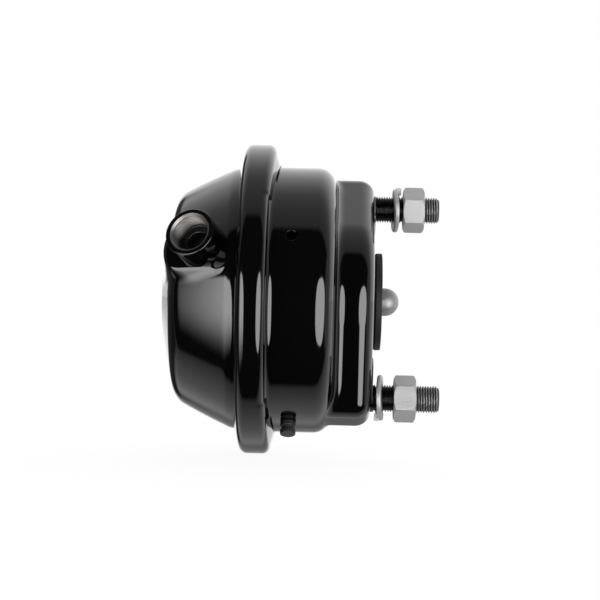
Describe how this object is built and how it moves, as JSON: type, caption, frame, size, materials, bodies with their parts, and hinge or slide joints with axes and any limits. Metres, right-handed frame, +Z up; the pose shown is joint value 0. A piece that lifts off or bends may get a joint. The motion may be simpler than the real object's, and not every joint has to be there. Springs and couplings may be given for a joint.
{
  "type": "air brake chamber",
  "caption": "Diaphragm air brake chamber for a disc brake: two pressed halves in a clamp band, an air port, a sprung ball-ended push rod, two mounting studs with nuts and a face seal.",
  "frame": {"origin": "centre of the mounting face, on the chamber's axis, in the plane of the raised pads round the studs", "axes": "+X along the chamber's axis towards the push rod and the brake, +Z up"},
  "size_m": [0.1636, 0.2055, 0.185],
  "materials": {
    "black_paint": "gloss black paint over pressed steel",
    "port_steel": "bare machined steel inside, black paint outside",
    "zinc_plate": "satin zinc plate",
    "bare_steel": "plain pressed steel",
    "ball_steel": "satin ground steel",
    "spring_steel": "black coated spring wire",
    "stud_steel": "rolled thread, part painted",
    "washer_steel": "bright zinc plate",
    "black_rubber": "moulded rubber",
    "seal_rubber": "matt moulded rubber",
    "plug_rubber": "matt moulded rubber"
  },
  "bodies": {
    "chamber": {"pressure_housing": "black_paint", "port_bush": "port_steel", "non_pressure_housing": "black_paint", "stud_plate": "black_paint", "clamp_band": "black_paint", "clamp_bolt": "zinc_plate", "clamp_nut": "zinc_plate", "diaphragm": "black_rubber", "return_spring": "spring_steel", "dust_boot": "black_rubber", "boot_retainer": "bare_steel", "mounting_seal": "seal_rubber", "upper_stud": "stud_steel", "lower_stud": "stud_steel"},
    "push_rod_assembly": {"push_plate": "bare_steel", "push_rod": "ball_steel", "boot_clip": "bare_steel"},
    "upper_nut_body": {"upper_nut": "zinc_plate"},
    "lower_nut_body": {"lower_nut": "zinc_plate"},
    "upper_washer_body": {"upper_spring_washer": "washer_steel"},
    "lower_washer_body": {"lower_spring_washer": "washer_steel"},
    "plug_lower_body": {"drain_plug_lower": "plug_rubber"},
    "plug_back_body": {"drain_plug_back": "plug_rubber"},
    "plug_top_body": {"drain_plug_top": "plug_rubber"}
  },
  "joints": [
    {"name": "push_rod_stroke", "type": "slide", "parent": "chamber", "child": "push_rod_assembly", "axis": [1, 0, 0], "range_m": [0, 0.064], "stiffness_N_per_m": 1500, "springref_m": -0.06, "deforming": ["diaphragm", "return_spring", "dust_boot"]},
    {"name": "upper_nut_run", "type": "slide", "parent": "chamber", "child": "upper_nut_body", "axis": [1, 0, 0], "range_m": [-0.0012, 0.0225]},
    {"name": "lower_nut_run", "type": "slide", "parent": "chamber", "child": "lower_nut_body", "axis": [1, 0, 0], "range_m": [-0.0048, 0.027]},
    {"name": "upper_washer_slide", "type": "slide", "parent": "chamber", "child": "upper_washer_body", "axis": [1, 0, 0], "range_m": [-0.0083, 0.0012]},
    {"name": "lower_washer_slide", "type": "slide", "parent": "chamber", "child": "lower_washer_body", "axis": [1, 0, 0], "range_m": [-0.0009, 0.0047]},
    {"name": "lower_plug_pull", "type": "slide", "parent": "chamber", "child": "plug_lower_body", "axis": [0, -0.454, -0.891], "range_m": [0, 0.012]},
    {"name": "back_plug_pull", "type": "slide", "parent": "chamber", "child": "plug_back_body", "axis": [0, 0.891, -0.454], "range_m": [0, 0.012]},
    {"name": "top_plug_pull", "type": "slide", "parent": "chamber", "child": "plug_top_body", "axis": [0, 0.454, 0.891], "range_m": [0, 0.012]}
  ]
}
